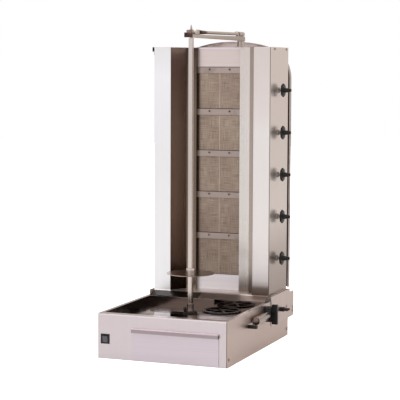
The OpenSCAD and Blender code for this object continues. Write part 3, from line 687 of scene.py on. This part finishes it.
# %% Frame finishes
FINISHES = {
    "casing_steel": satin_sheet,
    "tray_steel": tray_steel,
    "hidden_steel": inner_sheet,
    "column_steel": left_sheet,
    "reflector_steel": left_wing,
    "bright_steel": bar_steel,
    "arm_steel": arm_steel,
    "screw_steel": screw_steel,
    "burner_steel": burner_steel,
    "mesh_wire": gauze,
    "plaque_ceramic": ceramic,
    "gas_brass": brass,
    "black_iron": enamel,
    "dark_fitting": iron_paint,
    "knob_black": phenolic,
    "switch_black": switch_plastic,
    "rocker_grey": rocker_plastic,
    "motor_paint": motor_paint,
}
SLOT_OF = {row["node"]: row["material_slot"] for row in frame["record"]["subparts"]}
for node_name, node_object in frame["nodes"].items():
    for held in node_object.material_slots:
        held.material = FINISHES[SLOT_OF[node_name]]
SPECIAL = {
    "upper_panel": plain_panel,
    "lower_panel": plain_panel,
    "base_casing": casing_sheet,
    "drawer_front": drawer_sheet,
    "side_plate_left": plate_sheet,
    "side_plate_right": plate_sheet,
    "left_column": left_sheet,
    "right_column": right_sheet,
    "left_reflector": left_wing,
    "right_reflector": right_wing,
    "tower_bottom_plate": deck_steel,
    "rear_cover": cover_steel,
    "bracket_strips": strip_steel,
    "meat_disc": disc_steel,
    "keeper_rod": rod_steel,
}
for node_name, finish in SPECIAL.items():
    for held in frame["nodes"][node_name].material_slots:
        held.material = finish
print("dressed", len(frame["nodes"]), "nodes,", len(SPECIAL), "of them with their own finish")

# %% [markdown]
# ## Rounded edges
#
# The frame's edges are perfectly sharp, and nothing real is. Moulded knobs and machined blocks get
# small rounded edges that catch the light. Each is a copy of its piece: flat faces are merged
# first, so that only true edges are rounded, and the copy then stands in for the piece and rides
# its body.

# %% Softened copies
BODIES = frame["record"]["behaviour"]["bodies"]
BODY_OF = {node: body for body, nodes in BODIES.items() for node in nodes}
MERGE_BELOW = math.radians(0.5)
ROUND_ABOVE = math.radians(35)
SHADE_SHARP_ABOVE = math.radians(32)


def softened(node_name, radius_mm):
    """A copy of a frame piece with rounded edges, riding the same body in its place."""
    source = frame["nodes"][node_name]
    mesh = source.data.copy()
    mesh.transform(source.matrix_world)
    work = bmesh.new()
    work.from_mesh(mesh)
    bmesh.ops.remove_doubles(work, verts=work.verts, dist=1e-6)
    bmesh.ops.dissolve_limit(work, angle_limit=MERGE_BELOW, verts=work.verts, edges=work.edges)
    joined = [e for e in work.edges if len(e.link_faces) == 2]
    bmesh.ops.bevel(
        work,
        geom=[e for e in joined if e.calc_face_angle(0.0) > ROUND_ABOVE],
        offset=radius_mm * MM,
        segments=2,
        affect="EDGES",
        profile=0.5,
        clamp_overlap=True,
    )
    work.to_mesh(mesh)
    work.free()
    for face in mesh.polygons:
        face.use_smooth = True
    mesh.set_sharp_from_angle(angle=SHADE_SHARP_ABOVE)
    made = bpy.data.objects.new(node_name + "_softened", mesh)
    scene.collection.objects.link(made)
    mesh.materials.clear()
    mesh.materials.append(source.material_slots[0].material)
    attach(made, BODY_OF[node_name])
    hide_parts(node_name)
    return made


SOFT_EDGES_MM = {
    "keeper_block": 0.9,
    "arm_bar": 0.9,
    "clamp_lever": 0.8,
    "switch_rocker": 0.5,
    "tube_brackets": 0.6,
}
SOFT_EDGES_MM.update({f"tap_knob_{i}": 1.0 for i in range(1, 6)})
for node_name, radius in SOFT_EDGES_MM.items():
    softened(node_name, radius)
print("softened", len(SOFT_EDGES_MM), "pieces")

# %% [markdown]
# ## Screw heads
#
# Each bracket strip between the burners is held by two dome-head screws, browned by the heat. At
# this size a driver slot wouldn't show, so each is the top half of a ball, flattened and seated on
# the strip's face, and all ten share one mesh.

# %% Strip screws
SCREW_R_MM = 4.8
SCREW_UP_MM = 3.1
SCREW_APART_MM = 83.0
SCREW_BELOW_TOP_MM = 8.0  # from the strip's top edge
SEAT_MM = 0.1  # lifts the dome's flat side just into the strip's face
STRIP_TALL_MM = 23.0
STRIPS = 5
scorched = coated("scorched_screw_steel", "#3A2F2A", "#5A4B42", 0.45, 1.0, 0.2, metallic=0.7)


def dome_mesh(name, radius, height, rings=4, sides=16):
    """A low dome of the given size whose flat side is at y = 0 and whose top points to -Y."""
    work = bmesh.new()
    bmesh.ops.create_uvsphere(work, u_segments=sides, v_segments=2 * rings, radius=radius)
    below = [v for v in work.verts if v.co.z < -1e-6]
    bmesh.ops.delete(work, geom=below, context="VERTS")
    bmesh.ops.holes_fill(work, edges=[e for e in work.edges if e.is_boundary])
    bmesh.ops.scale(work, vec=(1, 1, height / radius), verts=work.verts)
    upright = Matrix.Rotation(math.radians(90), 3, "X")
    bmesh.ops.rotate(work, cent=(0, 0, 0), matrix=upright, verts=work.verts)
    mesh = bpy.data.meshes.new(name)
    work.to_mesh(mesh)
    work.free()
    for face in mesh.polygons:
        face.use_smooth = True
    return mesh


strip_low, strip_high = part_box("bracket_strips")
head_mesh = dome_mesh("strip_screw_head", SCREW_R_MM * MM, SCREW_UP_MM * MM)
head_mesh.materials.append(scorched)
pitch = (strip_high[2] - strip_low[2] - STRIP_TALL_MM * MM) / (STRIPS - 1)
for i in range(STRIPS):
    screw_z = strip_high[2] - SCREW_BELOW_TOP_MM * MM - i * pitch
    for side, label in ((-1, "left"), (1, "right")):
        head = bpy.data.objects.new(f"strip_screw_{i + 1}_{label}", head_mesh)
        scene.collection.objects.link(head)
        head.location = (side * SCREW_APART_MM / 2 * MM, strip_low[1] + SEAT_MM * MM, screw_z)
        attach(head, "tower")
print("strips", round(pitch / MM, 2), "mm apart, two screws on each")

# %% [markdown]
# ## Painted shadow lines and the lip's end
#
# Thin dark lines of painted shadow separate the gauze from its strips, where each strip stands a
# little proud of the wire. A line in the gauze's material would have to know every strip's place, so
# each is a narrow dark band on the gauze just above a strip. The drawer's lip has an open end whose
# inside is in shade, and a small black block stands for that shade.

# %% Painted shadow bands
# How far each painted shadow band reaches up the gauze, in millimetres.
SHADOW_BAND_UP_MM = 2.2
shadow_band_finish = coated("painted_shadow_band", "#3B312B", "#4A3F38", 0.8, 1.0, 0.1)


def slab(name, low, high, finish, body):
    """A plain box between two corners, riding a body."""
    work = bmesh.new()
    bmesh.ops.create_cube(work, size=1.0)
    for vert in work.verts:
        vert.co = Vector([low[k] + (vert.co[k] + 0.5) * (high[k] - low[k]) for k in range(3)])
    mesh = bpy.data.meshes.new(name)
    work.to_mesh(mesh)
    work.free()
    mesh.materials.append(finish)
    made = bpy.data.objects.new(name, mesh)
    scene.collection.objects.link(made)
    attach(made, body)
    return made


gauze_low, gauze_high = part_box("burner_meshes")
# Each band is painted shadow: a dark strip on the gauze just above a strip.
for i in range(STRIPS):
    top = strip_high[2] - i * pitch
    slab(
        f"painted_shadow_band_{i + 1}",
        (gauze_low[0], strip_low[1] + 0.0004, top - 0.0002),
        (gauze_high[0], strip_low[1] + 0.0022, top + SHADOW_BAND_UP_MM * MM),
        shadow_band_finish,
        "tower",
    )
drawer_low, drawer_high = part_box("drawer_front")
# A small black block as painted shade inside the lip's open end.
slab(
    "lip_end",
    (drawer_high[0] - 0.004, drawer_low[1] + 0.0016, drawer_high[2] - 0.015),
    (drawer_high[0] - 0.0006, drawer_low[1] + 0.0085, drawer_high[2] - 0.0035),
    phenolic,
    "drawer",
)
print("added", STRIPS, "soot bands and the lip's end")
